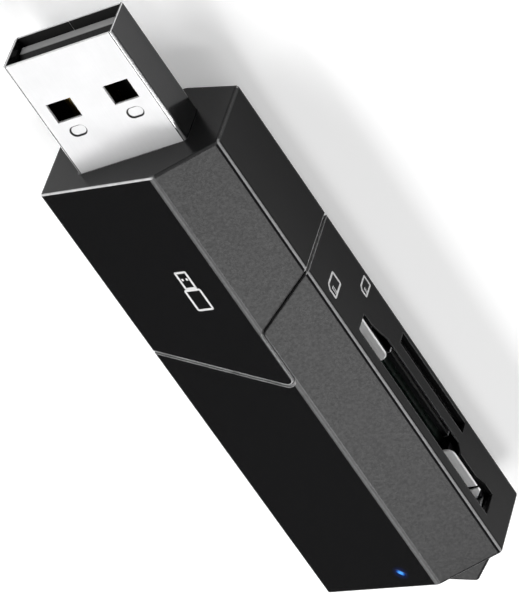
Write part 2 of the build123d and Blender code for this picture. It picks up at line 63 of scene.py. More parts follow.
class ReaderShellLook(bpy.types.PropertyGroup):
    """Finish of the two black shells"""

    colour: bpy.props.FloatVectorProperty(
        name="Plastic", description="Colour of the moulded plastic", subtype="COLOR", size=4,
        min=0, max=1, default=(0.005, 0.005, 0.0053, 1))
    fleck: bpy.props.FloatVectorProperty(
        name="Fleck", description="Paler colour of the grain's tops", subtype="COLOR", size=4,
        min=0, max=1, default=(0.007, 0.007, 0.0073, 1))
    # Painted highlight: pale colour of the highlight lines painted along the shells' edges
    worn: bpy.props.FloatVectorProperty(
        name="Worn Edge", description="Colour of the plastic where an edge has rubbed", subtype="COLOR", size=4,
        min=0, max=1, default=(0.7, 0.7, 0.705, 1))
    grain_size: bpy.props.FloatProperty(
        name="Grain Size", description="Width of one grain of the spark-eroded finish, in millimetres",
        default=0.12, min=0.02)
    grain_depth: bpy.props.FloatProperty(
        name="Grain Depth", description="Strength of the grain's relief", subtype="FACTOR",
        default=0.026, min=0, max=1)
    roughness: bpy.props.FloatProperty(
        name="Roughness", description="Roughness of the grained faces", subtype="FACTOR", default=0.22, min=0, max=1)
    polish: bpy.props.FloatProperty(
        name="Polished Roughness", description="Roughness of the polished front face", subtype="FACTOR",
        default=0.28, min=0, max=1)
    gloss: bpy.props.FloatProperty(
        name="Gloss", description="Gloss of the grained faces", subtype="FACTOR", default=0.155, min=0, max=1)
    grain_gloss: bpy.props.FloatProperty(
        name="Grain Gloss", description="Extra gloss on the tops of the grain", subtype="FACTOR",
        default=0.14, min=0, max=1)
    front_gloss: bpy.props.FloatProperty(
        name="Front Gloss", description="Gloss of the polished front face", subtype="FACTOR",
        default=0.32, min=0, max=1)
    # Reach of the edge mask that places the painted highlight lines, the rounded normal and the gloss
    edge_reach: bpy.props.FloatProperty(
        name="Wear Reach", description="How far wear comes in from an edge", subtype="DISTANCE", unit="LENGTH",
        default=0.2 * MM, min=0.0, precision=5)


class ReaderMetalLook(bpy.types.PropertyGroup):
    """Finish of the plug, the socket sheets and the springs"""

    plug: bpy.props.FloatVectorProperty(
        name="Plug Sheet", description="Colour of the plug's bright sheet", subtype="COLOR", size=4,
        min=0, max=1, default=(0.8, 0.8, 0.805, 1))
    # Painted shade: the plug's narrow sides are coloured near black as shade
    plug_side_shade: bpy.props.FloatVectorProperty(
        name="Plug Side", description="Colour of the plug's narrow sides, a little darkened",
        subtype="COLOR", size=4,
        min=0, max=1, default=(0.035, 0.035, 0.036, 1))
    # Painted shade: the inside of the plug is coloured near black as shade
    plug_inside_shade: bpy.props.FloatVectorProperty(
        name="Plug Inside", description="Colour of the dull inside of the plug", subtype="COLOR", size=4,
        min=0, max=1, default=(0.03, 0.03, 0.03, 1))
    plug_roughness: bpy.props.FloatProperty(
        name="Plug Roughness", description="Roughness of the plug's broad faces", subtype="FACTOR",
        default=0.74, min=0, max=1)
    side_roughness: bpy.props.FloatProperty(
        name="Side Roughness", description="Roughness of the plug's narrow sides", subtype="FACTOR",
        default=0.12, min=0, max=1)
    socket: bpy.props.FloatVectorProperty(
        name="Socket Sheet", description="Colour of the sockets' sheet", subtype="COLOR", size=4,
        min=0, max=1, default=(0.68, 0.68, 0.69, 1))
    socket_roughness: bpy.props.FloatProperty(
        name="Socket Roughness", description="Roughness of the sockets' sheet", subtype="FACTOR",
        default=0.38, min=0, max=1)
    contact: bpy.props.FloatVectorProperty(
        name="Contact Plating", description="Colour of the plated contacts", subtype="COLOR", size=4,
        min=0, max=1, default=(0.62, 0.42, 0.14, 1))
    brush_width: bpy.props.FloatProperty(
        name="Brush Width", description="Width of one rolling line in the sheet, in millimetres",
        default=0.07, min=0.01)


class ReaderInnerLook(bpy.types.PropertyGroup):
    """Finish of the tongue, the sockets' mouldings and the circuit board"""

    tongue: bpy.props.FloatVectorProperty(
        name="Tongue", description="Colour of the plug's tongue", subtype="COLOR", size=4,
        min=0, max=1, default=(0.012, 0.012, 0.012, 1))
    # Painted light: the tongue's front face is made pale as if lit from the front
    tongue_tip_light: bpy.props.FloatVectorProperty(
        name="Tongue Tip", description="Colour of the tongue's rubbed tip", subtype="COLOR", size=4,
        min=0, max=1, default=(0.35, 0.35, 0.35, 1))
    moulding: bpy.props.FloatVectorProperty(
        name="Moulding", description="Colour of the sockets' bases", subtype="COLOR", size=4,
        min=0, max=1, default=(0.006, 0.006, 0.0065, 1))
    mask: bpy.props.FloatVectorProperty(
        name="Board", description="Colour of the board's lacquer", subtype="COLOR", size=4,
        min=0, max=1, default=(0.003, 0.006, 0.0045, 1))
    track: bpy.props.FloatVectorProperty(
        name="Tracks", description="Colour of the lacquer over the copper tracks", subtype="COLOR", size=4,
        min=0, max=1, default=(0.008, 0.016, 0.012, 1))
    track_pitch: bpy.props.FloatProperty(
        name="Track Pitch", description="Spacing of the copper tracks, in millimetres", default=0.9, min=0.1)


class ReaderLampLook(bpy.types.PropertyGroup):
    """The blue activity light"""

    core: bpy.props.FloatVectorProperty(
        name="Core", description="Colour in the middle of the light", subtype="COLOR", size=4,
        min=0, max=1, default=(0.05, 0.25, 0.7, 1))
    rim: bpy.props.FloatVectorProperty(
        name="Rim", description="Colour at the ends of the light", subtype="COLOR", size=4,
        min=0, max=1, default=(0.0, 0.01, 0.09, 1))
    strength: bpy.props.FloatProperty(
        name="Strength", description="Brightness of the light", default=1.0, min=0)


class ReaderMarkSizes(bpy.types.PropertyGroup):
    """Plain printed marks that show what goes where"""

    ink: bpy.props.FloatVectorProperty(
        name="Ink", description="Colour of the printing ink", subtype="COLOR", size=4,
        min=0, max=1, default=(0.8, 0.8, 0.8, 1))
    line: bpy.props.FloatProperty(
        name="Line", description="Width of a printed line", subtype="DISTANCE", unit="LENGTH",
        default=0.24 * MM, precision=5)
    film: bpy.props.FloatProperty(
        name="Film", description="Thickness of the ink", subtype="DISTANCE", unit="LENGTH",
        default=0.012 * MM, precision=6)
    large_width: bpy.props.FloatProperty(
        name="Large Card", description="Width of the large card's mark", subtype="DISTANCE", unit="LENGTH",
        default=1.75 * MM, precision=5)
    small_width: bpy.props.FloatProperty(
        name="Small Card", description="Width of the small card's mark", subtype="DISTANCE", unit="LENGTH",
        default=1.4 * MM, precision=5)
    plug_width: bpy.props.FloatProperty(
        name="Plug", description="Width of the plug's mark", subtype="DISTANCE", unit="LENGTH",
        default=2.0 * MM, precision=5)


class ReaderStageSetup(bpy.types.PropertyGroup):
    """Floor, lamps and camera"""

    floor: bpy.props.FloatVectorProperty(
        name="Floor", description="Colour of the floor", subtype="COLOR", size=4,
        min=0, max=1, default=(0.9, 0.9, 0.9, 1))
    floor_lift: bpy.props.FloatProperty(
        name="Floor Lift", description="How much of the floor's white is its own", subtype="FACTOR",
        default=0.28, min=0, max=1)
    surround: bpy.props.FloatProperty(
        name="Surround", description="Brightness of the room", default=0.04, min=0)
    strip_power: bpy.props.FloatProperty(
        name="Strip Lamp", description="Power of the long lamp on the left", subtype="POWER", unit="POWER",
        default=5.5, min=0)
    top_power: bpy.props.FloatProperty(
        name="Top Lamp", description="Power of the lamp overhead", subtype="POWER", unit="POWER", default=1.05, min=0)
    edge_power: bpy.props.FloatProperty(
        name="Edge Lamp", description="Power of the narrow lamp on the right", subtype="POWER", unit="POWER",
        default=2.3, min=0)
    lens: bpy.props.FloatProperty(
        name="Lens", description="Focal length of the camera", subtype="DISTANCE_CAMERA", unit="CAMERA",
        default=269.28, min=1)


# Where the reader lies: drawn with its plug level, then tilted and set down


# Places are in millimetres on the level reader: across to the slot side, along from the front face to the plug, up
SIDE_OFF = 9.95
SIDE_HALF = 3.6
RIDGE_OFF = 3.35
RIDGE_RISE = 3.0
TILT = math.atan2(RIDGE_RISE, SIDE_OFF + RIDGE_OFF)
SHIFT = Vector((-0.03829, 23.0375, 5.70113))

# Bands of the shells for the painted edge highlights and the matte line: start, end and width of the soft sides
RIDGE_BAND = (3.08, 3.6, 0.07)
CORNER_BAND = (9.79, 9.9, 0.03)
CORNER_HEIGHTS = (3.7, 4.4, 0.05)
RIM_BAND = (-0.2, -0.06, 0.04)
CHAMFER_BAND = (3.4, 9.6, 0.1)
MATTE_BAND = (9.58, 9.76, 0.03)

# Fades of the shells: where each starts and where it is full
RIDGE_FADE = (6.2, 6.4)
RIM_FADE = (3.2, 3.6)
SLOT_SIDE_FADE = (9.3, 9.2)
SLOT_START_FADE = (-25.2, -24.8)
DULL_SIDE_FADE = (9.52, 9.6)

# How strongly each kind of edge gets its painted highlight line, where 1 is most
RIDGE_HIGHLIGHT = 0.14
CORNER_HIGHLIGHT = 0.5
FAR_RIM_HIGHLIGHT = 0.05
CHAMFER_HIGHLIGHT = 0.04
SLOT_HIGHLIGHT = 0.13

# The lit window and distances from its middle
LIGHT_PLACE = Vector((0.05, -52.15, 5.856))
LIGHT_GLOW = (0.45, 0.08)
LIGHT_SPILL = (0.95, 0.4)
LIGHT_CLEAR = (0.9, 1.1)

# The plug's sheet: its inside and narrow sides, which get painted shade, its folds and the outline of its dimples,
# which get painted shade lines
SHADED_INSIDE_ACROSS = (5.85, 5.75)
SHADED_INSIDE_HEIGHT = (2.06, 1.98)
SHADED_NARROW_SIDE = (5.9, 5.98)
UPPER_FACE = (2.0, 2.05)
FOLD_SHADE_BAND = (5.69, 5.75, 0.04)
FOLD_FADE = (5.6, 5.68)
DIMPLE_OFF = 3.15
DIMPLE_ALONG = 4.45
DIMPLE_STRAIGHT = 0.275
DIMPLE_RADIUS = 0.55
DIMPLE_SHADE_LINE = (0.1, 0.04)

# Middles of the printed marks; the plug's mark lies on the wide facet
LARGE_MARK_PLACE = Vector((SIDE_OFF, -20.3, 1.8))
SMALL_MARK_PLACE = Vector((SIDE_OFF, -24.4, -2.45))
PLUG_MARK_ACROSS = -0.75
PLUG_MARK_ALONG = -13.8

# Spans that most values of a noise and of the grain's relief lie in
NOISE_SPAN = (0.3, 0.7)
RELIEF_SPAN = (0.7, 1.15)

# Reach of the edge mask on sheet metal, for rubbing and painted highlight, and of the wear on inner mouldings, and
# the rolling lines' relief
SHEET_EDGE_REACH = 0.06 * MM
INNER_WEAR_REACH = 0.05 * MM
LINE_STRENGTH = 0.06
LINE_DEPTH = 0.004 * MM

# Colours of the plates, near white as painted light, and of the small parts on the board
LIT_PLATE = (0.95, 0.95, 0.95, 1)
CHIP = (0.014, 0.014, 0.015, 1)
CRYSTAL_CAN = (0.7, 0.69, 0.66, 1)
CAPACITOR = ((0.24, 0.13, 0.06, 1), (0.33, 0.2, 0.1, 1))
RESISTOR = ((0.02, 0.02, 0.022, 1), (0.06, 0.06, 0.062, 1))
LAMP_RESIN = ((0.5, 0.55, 0.6, 1), (0.7, 0.74, 0.78, 1))

# Stage, in metres: place and size of each lamp, and half the width of the floor
STRIP_LAMP = ((-0.41, 0.06, 0.46), (1.4, 0.24))
TOP_LAMP = ((-0.05, -0.337, 0.59), (0.2, 0.2))
EDGE_LAMP = ((0.36, -0.33, 0.42), (0.07, 0.6))
FLOOR_HALF = 2.0

# The camera: its place in millimetres and the directions of its picture's right and top
CAMERA_PLACE = Vector((133.5884, 209.4973, 343.9155))
CAMERA_RIGHT = Vector((0.865681, -0.499461, -0.033704))
CAMERA_UP = Vector((0.38725, 0.710817, -0.587177))
SENSOR_WIDTH = 36.0


def laid_down():
    """Turns places on the level reader into the resting frame."""
    return Matrix.Translation(SHIFT * MM) @ Matrix.Rotation(-TILT, 4, "Y")


# Shader helpers


def put(tree, kind, label, **settings):
    """Adds a node under a plain label."""
    node = tree.nodes.new(kind)
    node.name = label
    node.label = label
    for key, value in settings.items():
        setattr(node, key, value)
    return node


def feed(tree, node, values):
    """Gives a node its inputs: a socket is linked, anything else is set."""
    for key, value in values.items():
        if isinstance(value, bpy.types.NodeSocket):
            tree.links.new(value, node.inputs[key])
        else:
            node.inputs[key].default_value = value
    return node


def sum_up(tree, label, operation, *values, clamp=False):
    """Adds a Math node and returns its result."""
    node = put(tree, "ShaderNodeMath", label, operation=operation, use_clamp=clamp)
    return feed(tree, node, dict(enumerate(values))).outputs[0]


def mix_colour(tree, label, share, low, high):
    """Mixes two colours by a share and returns the result."""
    node = put(tree, "ShaderNodeMix", label, data_type="RGBA")
    return feed(tree, node, {0: share, 6: low, 7: high}).outputs[2]


def spread(tree, label, value, low, high, to_low=0.0, to_high=1.0):
    """Spreads a value from one span over another and returns it."""
    node = put(tree, "ShaderNodeMapRange", label)
    return feed(tree, node, {0: value, 1: low, 2: high, 3: to_low, 4: to_high}).outputs[0]


def new_group(name, inputs, outputs):
    """Starts a shader group with named sockets and returns its tree, input node and output node."""
    tree = bpy.data.node_groups.new(name, "ShaderNodeTree")
    for socket, kind, default in inputs:
        made = tree.interface.new_socket(socket, in_out="INPUT", socket_type=kind)
        made.default_value = default
    for socket, kind in outputs:
        tree.interface.new_socket(socket, in_out="OUTPUT", socket_type=kind)
    return tree, put(tree, "NodeGroupInput", "Inputs").outputs, put(tree, "NodeGroupOutput", "Outputs")


def moulded_grain():
    """Spark-eroded grain of a mould: fine relief and a slow mottle."""
    tree, given, result = new_group(
        "moulded_grain",
        [("Place", "NodeSocketVector", (0, 0, 0)), ("Grain", "NodeSocketFloat", 0.2)],
        [("Relief", "NodeSocketFloat"), ("Mottle", "NodeSocketFloat")])
    cells = put(tree, "ShaderNodeVectorMath", "Grain units", operation="DIVIDE")
    tree.links.new(given["Place"], cells.inputs[0])
    tree.links.new(given["Grain"], cells.inputs[1])
    fine = feed(tree, put(tree, "ShaderNodeTexNoise", "Fine grain"),
                {"Vector": cells.outputs[0], "Scale": 1.0, "Detail": 2.0, "Roughness": 0.55})
    dents = feed(tree, put(tree, "ShaderNodeTexNoise", "Dents"),
                 {"Vector": cells.outputs[0], "Scale": 0.4, "Detail": 1.0, "Roughness": 0.5})
    slow = feed(tree, put(tree, "ShaderNodeTexNoise", "Slow mottle"),
                {"Vector": cells.outputs[0], "Scale": 0.22, "Detail": 3.0, "Roughness": 0.65})
    relief = sum_up(tree, "Relief", "MULTIPLY_ADD", dents.outputs[0], 0.8, fine.outputs[0])
    tree.links.new(relief, result.inputs["Relief"])
    tree.links.new(slow.outputs[0], result.inputs["Mottle"])
    return tree


def edge_wear_and_highlight():
    """Mask of edges, for real rubbing and for painted edge highlights, and a normal that rounds them a little."""
    tree, given, result = new_group(
        "edge_wear_and_highlight",
        [("Place", "NodeSocketVector", (0, 0, 0)), ("Reach", "NodeSocketFloat", 0.0001)],
        [("Wear", "NodeSocketFloat"), ("Normal", "NodeSocketVector")])
    round_off = put(tree, "ShaderNodeBevel", "Rounded edge", samples=6)
    tree.links.new(given["Reach"], round_off.inputs["Radius"])
    face = put(tree, "ShaderNodeNewGeometry", "Face")
    turn = put(tree, "ShaderNodeVectorMath", "Turn", operation="DOT_PRODUCT")
    feed(tree, turn, {0: round_off.outputs[0], 1: face.outputs["Normal"]})
    edge = spread(tree, "Edge", turn.outputs["Value"], 0.995, 0.92)
    rub = feed(tree, put(tree, "ShaderNodeTexNoise", "Rubbing"),
               {"Vector": given["Place"], "Scale": 0.7, "Detail": 4.0, "Roughness": 0.7})
    rubbed = spread(tree, "Rubbed", rub.outputs[0], 0.35, 0.65, 0.55, 1.0)
    tree.links.new(sum_up(tree, "Wear", "MULTIPLY", edge, rubbed), result.inputs["Wear"])
    tree.links.new(round_off.outputs[0], result.inputs["Normal"])
    return tree


def rolled_sheet():
    """Fine rolling lines of sheet metal, along the reader."""
    tree, given, result = new_group(
        "rolled_sheet",
        [("Place", "NodeSocketVector", (0, 0, 0)), ("Width", "NodeSocketFloat", 0.07)],
        [("Lines", "NodeSocketFloat"), ("Cloud", "NodeSocketFloat")])
    cells = put(tree, "ShaderNodeVectorMath", "Line units", operation="DIVIDE")
    tree.links.new(given["Place"], cells.inputs[0])
    tree.links.new(given["Width"], cells.inputs[1])
    drawn = feed(tree, put(tree, "ShaderNodeMapping", "Drawn out"),
                 {"Vector": cells.outputs[0], "Scale": (1.0, 0.02, 1.0)})
    lines = feed(tree, put(tree, "ShaderNodeTexNoise", "Rolling lines"),
                 {"Vector": drawn.outputs[0], "Scale": 1.0, "Detail": 2.0, "Roughness": 0.5})
    cloud = feed(tree, put(tree, "ShaderNodeTexNoise", "Handling"),
                 {"Vector": given["Place"], "Scale": 0.35, "Detail": 4.0, "Roughness": 0.6})
    tree.links.new(lines.outputs[0], result.inputs["Lines"])
    tree.links.new(cloud.outputs[0], result.inputs["Cloud"])
    return tree


def shared(maker):
    """A shader group, built the first time it is asked for."""
    return bpy.data.node_groups.get(maker.__name__) or maker()


def use_group(tree, maker, values):
    """Places a shared group in a material with its own values."""
    node = put(tree, "ShaderNodeGroup", maker.__name__.replace("_", " ").capitalize())
    node.node_tree = shared(maker)
    return feed(tree, node, values).outputs


def new_finish(name):
    """A new material with its tree, its shader and the place on the reader in millimetres."""
    finish = bpy.data.materials.new(name)
    finish.use_nodes = True
    tree = finish.node_tree
    surface = tree.nodes["Principled BSDF"]
    place = put(tree, "ShaderNodeTexCoord", "Place").outputs["Object"]
    in_mm = put(tree, "ShaderNodeVectorMath", "Place in millimetres", operation="SCALE")
    feed(tree, in_mm, {0: place, "Scale": 1 / MM})
    return finish, tree, surface, in_mm.outputs[0]


def dress(pieces, finish):
    """Gives CAD nodes their finish."""
    for piece in pieces:
        piece.data.materials.clear()
        piece.data.materials.append(finish)


def relief_normal(tree, height, strength, depth, normal=None):
    """Bump from a height, on top of another normal where one is given."""
    bump = put(tree, "ShaderNodeBump", "Relief")
    feed(tree, bump, {"Strength": strength, "Distance": depth, "Height": height})
    if normal is not None:
        tree.links.new(normal, bump.inputs["Normal"])
    return bump.outputs[0]


def shade(colour, factor):
    """A colour made paler or darker by a factor."""
    return [min(1.0, part * factor) for part in colour[:3]] + [1.0]


def along_reader(tree, in_mm):
    """Place along the reader, in millimetres."""
    split = put(tree, "ShaderNodeSeparateXYZ", "Along")
    tree.links.new(in_mm, split.inputs[0])
    return split.outputs["Y"]


# Finishes


def level_place(tree, in_mm):
    """Place on the reader with its plug level, in millimetres: across, along and up from the middle."""
    level = put(tree, "ShaderNodeMapping", "Level reader", vector_type="TEXTURE")
    feed(tree, level, {"Vector": in_mm, "Location": SHIFT, "Rotation": (0, -TILT, 0)})
    split = put(tree, "ShaderNodeSeparateXYZ", "Level place")
    tree.links.new(level.outputs[0], split.inputs[0])
    return split.outputs["X"], split.outputs["Y"], split.outputs["Z"]


def band(tree, label, value, start, end, fade):
    """Mask of a band of values, with soft sides."""
    rise = spread(tree, label + " start", value, start - fade, start)
    fall = spread(tree, label + " end", value, end + fade, end)
    return sum_up(tree, label, "MULTIPLY", rise, fall)


def edge_highlight_mask(tree, level, wear, mottle):
    """Mask of the painted highlight lines along the edges, broken up like rubbing: ridges, corners, front rim and
    seam, less so the chamfers and the slots.
    """
    across, along, up = level
    height = sum_up(tree, "Above or below", "ABSOLUTE", up)
    ridge = sum_up(tree, "Ridge", "MULTIPLY", band(tree, "Ridge band", across, *RIDGE_BAND),
                   spread(tree, "Ridge height", height, *RIDGE_FADE, 0.0, RIDGE_HIGHLIGHT))
    corner = sum_up(tree, "Corner", "MULTIPLY", band(tree, "Corner band", across, *CORNER_BAND),
                    band(tree, "Corner height", height, *CORNER_HEIGHTS))
    corner = sum_up(tree, "Rubbed corner", "MULTIPLY", corner, CORNER_HIGHLIGHT)
    rim = sum_up(tree, "Front rim", "MULTIPLY", band(tree, "Rim band", along, *RIM_BAND),
                 spread(tree, "Rim across", across, *RIM_FADE, 1.0, FAR_RIM_HIGHLIGHT))
    most = sum_up(tree, "Long edges", "MAXIMUM", corner, ridge)
    most = sum_up(tree, "Long edges and rim", "MAXIMUM", most, rim)
    on_chamfer = band(tree, "On the chamfer", across, *CHAMFER_BAND)
    off_chamfer = spread(tree, "Off the chamfer", on_chamfer, 0.0, 1.0, 1.0, CHAMFER_HIGHLIGHT)
    off_slots = sum_up(tree, "Off the slots", "MAXIMUM",
                       spread(tree, "Off the slot side", across, *SLOT_SIDE_FADE, SLOT_HIGHLIGHT, 1.0),
                       spread(tree, "Before the slots", along, *SLOT_START_FADE, SLOT_HIGHLIGHT, 1.0))
    seam = sum_up(tree, "Wear off the chamfer", "MULTIPLY", wear, off_chamfer)
    seam = sum_up(tree, "Seam edges", "MULTIPLY", seam, off_slots)
    most = sum_up(tree, "All edges", "MAXIMUM", most, seam)
    rubbed = spread(tree, "Long rubbing", mottle, 0.3, 0.6, 0.8, 1.0)
    return sum_up(tree, "Edge highlight mask", "MULTIPLY", most, rubbed)


def from_light(tree, in_mm):
    """Distance from the middle of the lit window, in millimetres."""
    away = put(tree, "ShaderNodeVectorMath", "From the light", operation="DISTANCE")
    return feed(tree, away, {0: in_mm, 1: laid_down() @ (LIGHT_PLACE * MM) / MM}).outputs["Value"]


def light_spill(tree, away):
    """Faint blue light in the plastic around the lit window."""
    near = spread(tree, "Near the light", away, *LIGHT_SPILL)
    return mix_colour(tree, "Blue spill", near, (0, 0, 0, 1), (0.0, 0.006, 0.05, 1))


def shell_gloss(tree, look, relief, wear, across, polished):
    """Gloss of the shells: most on the front face and the grain's tops, none on the slot side and at sharp edges."""
    gloss = spread(tree, "Grain gloss", relief, *RELIEF_SPAN, look.gloss, look.gloss + look.grain_gloss)
    off_slot_side = spread(tree, "Off the dull slot side", across, *DULL_SIDE_FADE, 1.0, 0.0)
    gloss = sum_up(tree, "Gloss off the slot side", "MULTIPLY", gloss, off_slot_side)
    off_edges = sum_up(tree, "Off the edges", "SUBTRACT", 1.0, wear)
    gloss = sum_up(tree, "Gloss off the edges", "MULTIPLY", gloss, off_edges)
    return spread(tree, "Gloss", polished, 0.0, 1.0, gloss, look.front_gloss)


def shell_plastic(look):
    """Black moulded plastic: fine grain, painted highlight lines along the edges, and a polished face around the
    plug.
    """
    finish, tree, surface, in_mm = new_finish("shell_plastic")
    grain = use_group(tree, moulded_grain, {"Place": in_mm, "Grain": look.grain_size})
    edges = use_group(tree, edge_wear_and_highlight, {"Place": in_mm, "Reach": look.edge_reach})
    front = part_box("front_shell")[1].y / MM
    polished = spread(tree, "Polished face", along_reader(tree, in_mm), front - 0.3, front - 0.05)
    speck = spread(tree, "Speckle", grain["Relief"], *RELIEF_SPAN)
    body = mix_colour(tree, "Flecked plastic", speck, look.colour, look.fleck)
    level = level_place(tree, in_mm)
    away = from_light(tree, in_mm)
    off_light = spread(tree, "Off the light", away, *LIGHT_CLEAR)
    # Painted highlight: a pale colour along the ridges, corners, front rim and seam, kept off near the light
    wear = sum_up(tree, "Wear off the light", "MULTIPLY", edges["Wear"], off_light)
    worn = edge_highlight_mask(tree, level, wear, grain["Mottle"])
    colour = mix_colour(tree, "Worn plastic", worn, body, look.worn)
    uneven = spread(tree, "Uneven roughness", grain["Mottle"], *NOISE_SPAN,
                    look.roughness - 0.015, look.roughness + 0.025)
    rough = spread(tree, "Roughness", polished, 0.0, 1.0, uneven, look.polish)
    matte = band(tree, "Matte line beside the corner", level[0], *MATTE_BAND)
    rough = spread(tree, "Roughness with matte line", matte, 0.0, 1.0, rough, 0.8)
    flat = sum_up(tree, "Grained faces", "SUBTRACT", 1.0, polished)
    height = sum_up(tree, "Grain height", "MULTIPLY", grain["Relief"], flat)
    normal = relief_normal(tree, height, look.grain_depth, 0.02 * MM, edges["Normal"])
    gloss = shell_gloss(tree, look, grain["Relief"], edges["Wear"], level[0], polished)
    feed(tree, surface, {"Base Color": colour, "Roughness": rough, "Normal": normal, "Specular IOR Level": 0.05,
                         "Coat Weight": gloss, "Coat Roughness": 0.2,
                         "Emission Color": light_spill(tree, away), "Emission Strength": 1.0})
    return finish


def handled_and_highlit_sheet(tree, in_mm, colour, roughness, width, dull, bright):
    """Colour, roughness and normal of rolled sheet, handled a little, with its edges made paler as rubbing and
    painted highlight.
    """
    sheet = use_group(tree, rolled_sheet, {"Place": in_mm, "Width": width})
    edges = use_group(tree, edge_wear_and_highlight, {"Place": in_mm, "Reach": SHEET_EDGE_REACH})
    handling = spread(tree, "Handling", sheet["Cloud"], 0.4, 0.75)
    tone = mix_colour(tree, "Handled and highlit sheet", handling, colour, shade(colour, dull))
    # Rubbing and painted highlight: edges made paler by the bright factor
    tone = mix_colour(tree, "Rubbed sheet", edges["Wear"], tone, shade(colour, bright))
    lined = spread(tree, "Lined roughness", sheet["Lines"], *NOISE_SPAN, roughness - 0.05, roughness + 0.06)
    normal = relief_normal(tree, sheet["Lines"], LINE_STRENGTH, LINE_DEPTH, edges["Normal"])
    return tone, lined, normal


def sheet_metal(name, colour, roughness, width, metallic=1.0):
    """Bright sheet of the sockets, the springs and the crystal's can."""
    finish, tree, surface, in_mm = new_finish(name)
    tone, lined, normal = handled_and_highlit_sheet(tree, in_mm, colour, roughness, width, dull=0.86, bright=1.12)
    feed(tree, surface, {"Base Color": tone, "Roughness": lined, "Normal": normal, "Metallic": metallic})
    return finish


def dimple_shade_line(tree, off_middle, along):
    """Mask of the two pressed outlines on the plug, where painted shade lines go."""
    past = sum_up(tree, "To the dimple", "SUBTRACT", off_middle, DIMPLE_OFF)
    past = sum_up(tree, "Off the dimple", "ABSOLUTE", past)
    past = sum_up(tree, "Straight", "SUBTRACT", past, DIMPLE_STRAIGHT)
    past = sum_up(tree, "Past the straight", "MAXIMUM", past, 0.0)
    reach = put(tree, "ShaderNodeCombineXYZ", "From the dimple's middle")
    feed(tree, reach, {"X": past, "Y": sum_up(tree, "Along the dimple", "SUBTRACT", along, DIMPLE_ALONG)})
    away = put(tree, "ShaderNodeVectorMath", "Dimple distance", operation="LENGTH")
    tree.links.new(reach.outputs[0], away.inputs[0])
    off_line = sum_up(tree, "To the outline", "SUBTRACT", away.outputs["Value"], DIMPLE_RADIUS)
    off_line = sum_up(tree, "Off the outline", "ABSOLUTE", off_line)
    return spread(tree, "Outline", off_line, *DIMPLE_SHADE_LINE)


def plug_sheet(look):
    """Plated sheet of the plug: scuffed broad faces, smooth sides with painted shade, painted shade inside, painted
    shade lines around the dimples and along the folds.
    """
    finish, tree, surface, in_mm = new_finish("plug_steel")
    tone, lined, normal = handled_and_highlit_sheet(tree, in_mm, look.plug, look.plug_roughness, look.brush_width,
                                        dull=0.96, bright=1.15)
    across, along, up = level_place(tree, in_mm)
    off_middle = sum_up(tree, "Off the middle", "ABSOLUTE", across)
    height = sum_up(tree, "Above or below", "ABSOLUTE", up)
    # Painted shade: the inside of the plug takes the near-black inside colour
    inside = sum_up(tree, "Inside", "MULTIPLY", spread(tree, "Inside across", off_middle, *SHADED_INSIDE_ACROSS),
                    spread(tree, "Inside height", height, *SHADED_INSIDE_HEIGHT))
    # Painted shade: the narrow sides take the near-black side colour
    side = spread(tree, "Narrow side", off_middle, *SHADED_NARROW_SIDE)
    tone = mix_colour(tree, "Darkened side", side, tone, look.plug_side_shade)
    tone = mix_colour(tree, "Shaded inside", inside, tone, look.plug_inside_shade)
    # Painted shade lines: dark rings around the dimples on the upper face and dark lines along the folds
    painted_shade_lines = sum_up(tree, "Shadow", "MULTIPLY", dimple_shade_line(tree, off_middle, along),
                   spread(tree, "Upper face", up, *UPPER_FACE))
    painted_shade_lines = sum_up(tree, "Grime and folds", "MAXIMUM", painted_shade_lines, band(tree, "Fold", off_middle, *FOLD_SHADE_BAND))
    tone = mix_colour(tree, "Grime in the dimples", painted_shade_lines, tone, look.plug_inside_shade)
    rough = spread(tree, "Smooth folds and sides", off_middle, *FOLD_FADE, lined, look.side_roughness)
    feed(tree, surface, {"Base Color": tone, "Roughness": rough, "Normal": normal, "Metallic": 0.5,
                         "Specular IOR Level": 0.18})
    return finish


def inner_plastic(name, colour, roughness, tip=None):
    """Dark filled plastic of the mouldings inside; a tip, given as its end and colour, gets a paler colour as painted
    light.
    """
    finish, tree, surface, in_mm = new_finish(name)
    grain = use_group(tree, moulded_grain, {"Place": in_mm, "Grain": 0.12})
    edges = use_group(tree, edge_wear_and_highlight, {"Place": in_mm, "Reach": INNER_WEAR_REACH})
    filler = spread(tree, "Filler", grain["Mottle"], 0.35, 0.7)
    tone = mix_colour(tree, "Filled plastic", filler, colour, shade(colour, 1.7))
    tone = mix_colour(tree, "Worn plastic", edges["Wear"], tone, shade(colour, 3))
    # Painted light: the pale tip colour stands in for light on the tongue's front face
    if tip:
        end = tip[0] / MM
        rubbed = spread(tree, "Rubbed tip", along_reader(tree, in_mm), end - 0.07, end - 0.03)
        tone = mix_colour(tree, "Tip", rubbed, tone, tip[1])
    rough = spread(tree, "Roughness", grain["Mottle"], *NOISE_SPAN, roughness - 0.06, roughness + 0.08)
    normal = relief_normal(tree, grain["Relief"], 0.15, 0.01 * MM, edges["Normal"])
    feed(tree, surface, {"Base Color": tone, "Roughness": rough, "Normal": normal, "Specular IOR Level": 0.25})
    return finish


